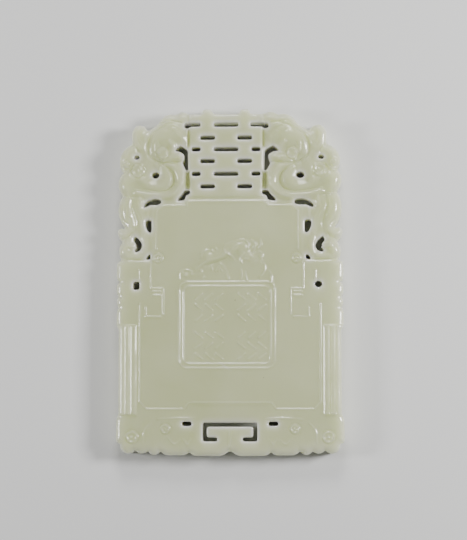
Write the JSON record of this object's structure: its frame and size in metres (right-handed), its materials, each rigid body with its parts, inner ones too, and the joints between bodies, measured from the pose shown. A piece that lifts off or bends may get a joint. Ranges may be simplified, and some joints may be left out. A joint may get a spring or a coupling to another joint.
{
  "type": "jade pendant",
  "caption": "Flat carved white jade pendant: a pierced lattice crest between dragons over a framed panel with a seal, on a scalloped foot.",
  "frame": {"origin": "under the middle of the plaque, on the plane that its back lies on", "axes": "+X to the right of the carved face, +Y from the foot to the pierced crest, +Z out of the carved face"},
  "size_m": [0.046, 0.07, 0.0065],
  "materials": {
    "white_jade": "polished"
  },
  "bodies": {
    "root": {"carved_jade_plaque": "white_jade"}
  },
  "joints": []
}
